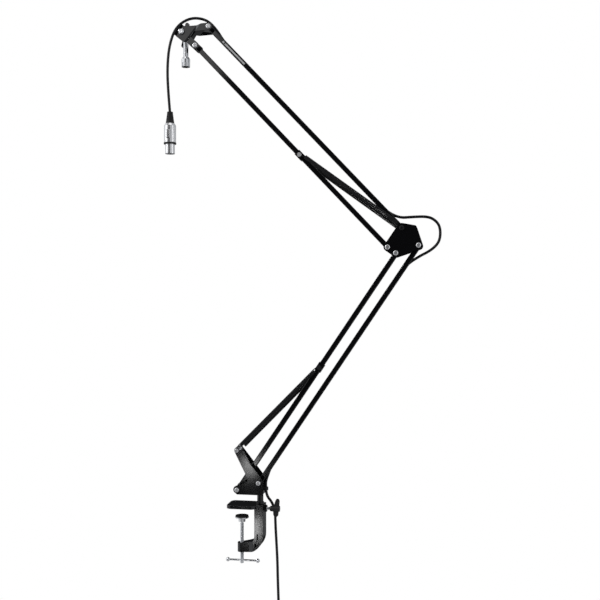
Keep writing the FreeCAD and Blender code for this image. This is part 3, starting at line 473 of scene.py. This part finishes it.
boot_long = 0.019
male_x = (male_low[0] + male_high[0]) / 2
male_y = (male_low[1] + male_high[1]) / 2
relief_rings = relief_profile(boot_long, thin=0.0034, thick=0.0049, hole=0.0020)
male_relief = turned("male_relief", relief_rings, rubber, (male_x, male_y, male_high[2] - boot_long),
                     ring=True)
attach(male_relief, "clamp")
barrel = male_high[2] - boot_long - male_low[2]
male_r = (male_high[0] - male_low[0]) / 2
groove_r = male_r - 0.0004
shoulder_r = male_r - 0.0003
bore_r = 0.0079
bore_long = 0.0160
male_barrel = turned("male_barrel", [
    (0, bore_r), (0.0004, shoulder_r), (0.0010, male_r), (0.0120, male_r), (0.0124, groove_r),
    (0.0136, groove_r), (0.0140, male_r), (barrel - 0.0050, male_r), (barrel - 0.0042, shoulder_r),
    (barrel - 0.0002, 0.0058), (barrel, 0.0052), (barrel, 0), (bore_long, 0), (bore_long, bore_r)],
    satin_chrome, (male_x, male_y, male_low[2]), sides=56, ring=True)
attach(male_barrel, "clamp")
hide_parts("male_shell")


def refinish(finish, *nodes):
    """Gives parts their finish where the frame's own shapes are right."""
    for node in nodes:
        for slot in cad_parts[node].material_slots:
            slot.material = finish


refinish(moulding, "male_insert")

# The female connector that plugs into the microphone: the same relief, a bright shell with a black ring
# above its narrower nose, the insert with three sockets and the release button in its window.
boot_low, boot_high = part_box("female_boot")
plug_x = (boot_low[0] + boot_high[0]) / 2
plug_y = (boot_low[1] + boot_high[1]) / 2
relief_rings = relief_profile(boot_high[2] - boot_low[2], thin=0.0047, thick=0.0070, hole=0.0024)
relief = turned("female_relief", relief_rings, rubber, (plug_x, plug_y, boot_low[2]), ring=True)
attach(relief, "head")
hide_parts("female_boot")
ring_drop = 0.0306
ring_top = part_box("female_shell")[1][2] - ring_drop
index_ring = turned("female_index_ring", [
    (-0.0027, 0.0096), (-0.0026, 0.0101), (-0.0003, 0.0101), (0, 0.0097), (0, 0.0092), (-0.0027, 0.0078)],
    rubber, (plug_x, plug_y, ring_top), sides=48, ring=True)
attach(index_ring, "head")
refinish(satin_chrome, "female_shell", "latch_button")
refinish(moulding, "female_insert")


# The clamp: one casting in the shape of a C, painted satin black over a fine cast grain. The upper jaw
# lies on the desk, the beam carries the lock boss, and the lower arm ends in the screw's boss.
def enamel(name, tone, rough, peel, depth):
    """Baked black paint: a fine orange peel and a slightly uneven gloss over the metal."""
    material, nodes = start_finish(name)
    skin = noise(nodes, peel)
    cloud = noise(nodes, 35)
    light = tuple(1.5 * part for part in tone)
    surface_of(nodes, {
        "Base Color": tint(nodes, cloud, tone, light),
        "Roughness": rough + 0.06 * cloud,
        "Normal": nodes.node("Bump", {}, {"Height": skin, "Distance": depth, "Strength": 0.6})})
    return material


cast_paint = enamel("cast enamel", (0.004, 0.004, 0.0045), 0.07, 700, 0.000004)
paint = enamel("satin enamel", (0.003, 0.003, 0.0035), 0.07, 1500, 0.0000012)


def eased(name, node, width, finish):
    """The frame's shape with its edges rolled over by a small width, as paint and tumbling leave them."""
    mesh = bmesh.new()
    mesh.from_mesh(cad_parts[node].data)
    bmesh.ops.remove_doubles(mesh, verts=mesh.verts, dist=0.000002)
    bmesh.ops.dissolve_limit(mesh, angle_limit=math.radians(1), verts=mesh.verts, edges=mesh.edges)
    edges = [edge for edge in mesh.edges
             if len(edge.link_faces) == 2 and edge.calc_face_angle() > sharp_edge]
    bmesh.ops.bevel(mesh, geom=edges, offset=width, offset_type="OFFSET", segments=2, profile=0.5,
                    affect="EDGES", clamp_overlap=True)
    piece = show(name, mesh, finish)
    even = piece.modifiers.new("even", "WEIGHTED_NORMAL")
    even.keep_sharp = True
    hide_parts(node)
    return piece


casting = eased("clamp_casting", "clamp_frame", 0.0006, cast_paint)
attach(casting, "clamp")


# The clamp screw: a chromed M6 screw with a rolled thread of 1 mm pitch. Its plain nose turns in the pad's
# cup, and the tommy bar goes through its other end.
def thread(pitch, depth):
    """How deep a right-hand thread is cut at a place along and round a bar."""
    return lambda along, angle: depth * abs(2 * ((along / pitch - angle / (2 * math.pi)) % 1) - 1)


def threaded(name, radius, long, plain, pitch, finish, place, axis=(0, 0, 1)):
    """A threaded bar with a chamfered start and a plain end, thinner than the thread."""
    cut = thread(pitch, 0.55 * pitch)
    wound = long - plain
    steps = int(wound / pitch * 5)
    start_r = radius * 0.7
    plain_r = radius * 0.76
    profile = [(0, 0), (0, start_r)]
    profile += [(wound * (k + 1) / steps, radius) for k in range(steps)]
    profile += [(wound, plain_r), (long, plain_r), (long, 0)]
    return turned(name, profile, finish, place, axis, 24,
                  lambda along, angle: cut(along, angle) if 0 < along < wound else 0)


screw_low, screw_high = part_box("clamp_screw")
screw = threaded("clamp_screw_thread", (screw_high[0] - screw_low[0]) / 2, screw_high[2] - screw_low[2],
                 0.008, 0.001, chrome, ((screw_low[0] + screw_high[0]) / 2, 0, screw_low[2]))
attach(screw, "screw")
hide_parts("clamp_screw")

# The tommy bar: a chromed steel rod, 3 mm thick, that slides through the screw's lower end. A ball is
# pressed on each end of it.
bar_low, bar_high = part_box("tommy_bar")
ball = (bar_high[2] - bar_low[2]) / 2
bar_long = bar_high[0] - bar_low[0]
bar_r = 0.0015
neck = math.asin(bar_r / ball)
steps = 14
half_ball = [(ball - ball * math.cos(t), ball * math.sin(t))
             for t in [(math.pi - neck) * k / steps for k in range(steps + 1)]]
half_ball[0] = (0, 0)
bar_profile = half_ball + [(bar_long - along, radius) for along, radius in reversed(half_ball)]
bar = turned("tommy_bar_balls", bar_profile, chrome,
             (bar_low[0], 0, (bar_low[2] + bar_high[2]) / 2), (1, 0, 0), 32)
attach(bar, "tommy")
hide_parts("tommy_bar")

# The pressure pad: a pressed steel cup that the screw's nose turns in, with a black rubber face bonded on
# it for the desk's underside.
steel = plated("machined steel", (0.86, 0.86, 0.87), 0.34, 0.6)
cup = eased("pad_cup", "pressure_pad", 0.0004, steel)
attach(cup, "pad")
refinish(rubber, "pad_face")

# The lock knob: a moulded black knob with two wings on a chromed M5 stud. The stud screws through the
# boss on the casting's beam and presses on the swivel pin.
stud_low, stud_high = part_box("knob_stud")
stud = threaded("lock_stud_thread", (stud_high[2] - stud_low[2]) / 2, stud_high[0] - stud_low[0],
                0.002, 0.0008, chrome, (stud_low[0], 0, (stud_low[2] + stud_high[2]) / 2), (1, 0, 0))
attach(stud, "lock_stud")
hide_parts("knob_stud")
knob_black, nodes = start_finish("knob moulding")
spark = noise(nodes, 1100)
surface_of(nodes, {
    "Base Color": tint(nodes, noise(nodes, 50), (0.006, 0.006, 0.007), (0.013, 0.013, 0.014)),
    "Roughness": 0.42 + 0.2 * spark,
    "Normal": nodes.node("Bump", {}, {"Height": spark, "Distance": 0.00006, "Strength": 0.8})})
knob = eased("lock_knob_wings", "knob_wing", 0.0008, knob_black)
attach(knob, "lock_wing")

# The base bracket: two pressed steel cheeks, black and rolled at their edges, on both sides of a foot block
# that sits on the swivel pin. Two bolts carry the tubes, and a third with a bright sleeve holds the springs.
for node in ("base_plate_front", "base_plate_rear", "base_block"):
    plate = eased(node + "_painted", node, 0.0003, paint)
    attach(plate, "base")
refinish(paint, "swivel_pin")
refinish(steel, "base_bolt_right", "base_bolt_left", "base_spring_pin")
refinish(rubber, "cable_clip")

# The arms' tubes: square steel tube, 8 mm outside, black all over, with a slot near each end of the two
# that carry the cable. Each lower tube turns on a bush at the base bracket and one at the elbow.
refinish(paint, "lower_tube_right", "lower_tube_left", "upper_tube_top", "upper_tube_bottom")

# The spring anchors: a saddle pressed from sheet round the tube, with a pin through it, bright on the
# upper arm and black on the lower.
for node, body in (("lower_saddle", "lower_left"), ("upper_saddle", "upper_bottom")):
    saddle = eased(node + "_painted", node, 0.0002, paint)
    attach(saddle, body)
refinish(steel, "upper_anchor_pin")

# The springs: four close-wound extension springs of blackened 1.4 mm wire, two to an arm. The wire ends in
# a long loop at each end, one on the arm's pin and the other on the base or elbow.
oxide, nodes = start_finish("spring oxide")
scale = noise(nodes, 500)
surface_of(nodes, {
    "Base Color": tint(nodes, scale, (0.004, 0.004, 0.005), (0.010, 0.010, 0.011)),
    "Roughness": 0.55 + 0.15 * scale,
    "Specular IOR Level": 0.3,
    "Normal": nodes.node("Bump", {}, {"Height": scale, "Distance": 0.000005, "Strength": 0.5})})
refinish(oxide, "lower_anchor_pin")
wire = 0.0014
wire_r = 0.00068
coil_r = 0.0026
shank = 0.009


def wire_path(fixed, moving, fixed_loop, moving_loop, shift):
    """A spring's wire from loop to loop: along the line of its two pins, aside from it, and across."""
    long = (moving - fixed).length
    advance = wire * 1.02
    per_turn = 14
    loop_steps = 20

    def loop(centre, radius, sense):
        reach = math.acos(radius / shank)
        turns = [reach + (2 * math.pi - 2 * reach) * k / loop_steps for k in range(loop_steps + 1)]
        return [Vector((centre + sense * radius * math.cos(t), radius * math.sin(t), 0))
                for t in reversed(turns)]

    wound = (long - 2 * shank) / advance
    path = loop(0, fixed_loop, 1)
    for k in range(int(wound * per_turn) + 1):
        turn = 2 * math.pi * k / per_turn
        path.append(Vector((shank + advance * k / per_turn, shift + coil_r * math.cos(turn),
                            coil_r * math.sin(turn))))
    return path + list(reversed(loop(long, moving_loop, -1)))


def spring_pair(name, fixed, moving, fixed_loop, moving_loop, shift, nodes_front, nodes_rear):
    """An arm's two springs, one each side of its tubes, their coils set off the pins' line to either side."""
    off_middle = 0.008
    along = (moving - fixed).normalized()
    aside = Vector((-along.z, 0, along.x))
    for side, way, stands_for in ((-1, 1, nodes_front), (1, -1, nodes_rear)):
        path = [fixed + along * p.x + aside * p.y + Vector((0, side * off_middle + p.z, 0))
                for p in wire_path(fixed, moving, fixed_loop, moving_loop, way * shift)]
        piece = swept(name + ("_front" if side < 0 else "_rear"), path, wire_r, oxide, 8)
        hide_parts(*stands_for)
        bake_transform(piece)


spring_pair("lower_coil", bolt_axis("base_spring_pin"), bolt_axis("lower_anchor_pin"), 0.0043, 0.0031, 0.0018,
            ("lower_spring_front", "lower_hook_front"), ("lower_spring_rear", "lower_hook_rear"))
spring_pair("upper_coil", elbow_top, bolt_axis("upper_anchor_pin"), 0.0047, 0.0031, -0.0026,
            ("upper_spring_front", "upper_hook_front"), ("upper_spring_rear", "upper_hook_rear"))

# The elbow: two five-sided cheeks of pressed sheet on four bolts. The bolt at the top is black, the other
# three are bright pan heads with a crossed slot.
for node in ("elbow_plate_front", "elbow_plate_rear"):
    plate = eased(node + "_painted", node, 0.0003, paint)
    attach(plate, "elbow")
refinish(steel, "elbow_bolt_a", "elbow_bolt_b", "elbow_bolt_c")
refinish(oxide, "elbow_bolt_d")

# The head: two cheeks of pressed sheet, folded inwards where they grip the post. Two bolts carry the upper
# tubes, and a big chromed tilt bolt goes through the cheeks and the post's eye.
for node in ("head_plate_front", "head_plate_rear"):
    plate = eased(node + "_painted", node, 0.0003, paint)
    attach(plate, "head")
refinish(steel, "head_bolt_top", "head_bolt_bottom", "tilt_washer")
refinish(chrome, "tilt_bolt")

# The stripe: pale ink printed along the front of the upper tube, below the head, in a short bar and a long
# one. It is plain and worn a little uneven.
stripe_paint, nodes = start_finish("stripe print")
fade = noise(nodes, 500)
surface_of(nodes, {"Base Color": tint(nodes, fade, (0.30, 0.30, 0.30), (0.62, 0.62, 0.62)),
                   "Roughness": 0.4 + 0.1 * fade})
upper_along = (elbow_top - head_top).normalized()
upper_aside = Vector((-upper_along.z, 0, upper_along.x))
tube_front = Vector((0, -0.00405, 0))
half_wide = 0.0013
ink_thick = 0.00008
mesh = bmesh.new()
for first, last in ((0.031, 0.035), (0.037, 0.084)):
    corners = [head_top + upper_along * reach + upper_aside * offset + tube_front for reach, offset in (
        (first, -half_wide), (last, -half_wide), (last, half_wide), (first, half_wide))]
    outer = [mesh.verts.new(corner) for corner in corners]
    inner = [mesh.verts.new(corner + Vector((0, ink_thick, 0))) for corner in corners]
    mesh.faces.new(outer)
    mesh.faces.new(inner)
    for k in range(4):
        mesh.faces.new((outer[k - 1], outer[k], inner[k], inner[k - 1]))
stripe = show("tube_stripe", mesh, stripe_paint)
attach(stripe, "upper_top")

# The wing nut behind the head: cast, and painted black like the clamp. It turns on the tilt bolt's thread
# and sets how hard the cheeks grip the post.
nut = eased("tilt_wing_nut", "wing_nut", 0.0006, cast_paint)
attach(nut, "nut")

# The microphone post: a chromed bar with a flat eye, and the coupler screwed on its end with finger
# flutes round it.
refinish(chrome, "mic_post", "coupler")

# The table: round, pale card under the lowest piece, with a softened edge. It isn't part of the object.
# The whole arm stands above it.
card, nodes = start_finish("pale card")
surface_of(nodes, {"Base Color": tint(nodes, noise(nodes, 20), (0.86, 0.86, 0.86), (0.90, 0.90, 0.90)),
                   "Roughness": 0.8})
floor = turned("table", [(-0.01, 0), (-0.01, 0.44), (-0.001, 0.45), (0, 0.449), (0, 0)], card,
               (0.09, 0, male_low[2] - 0.002), sides=128)
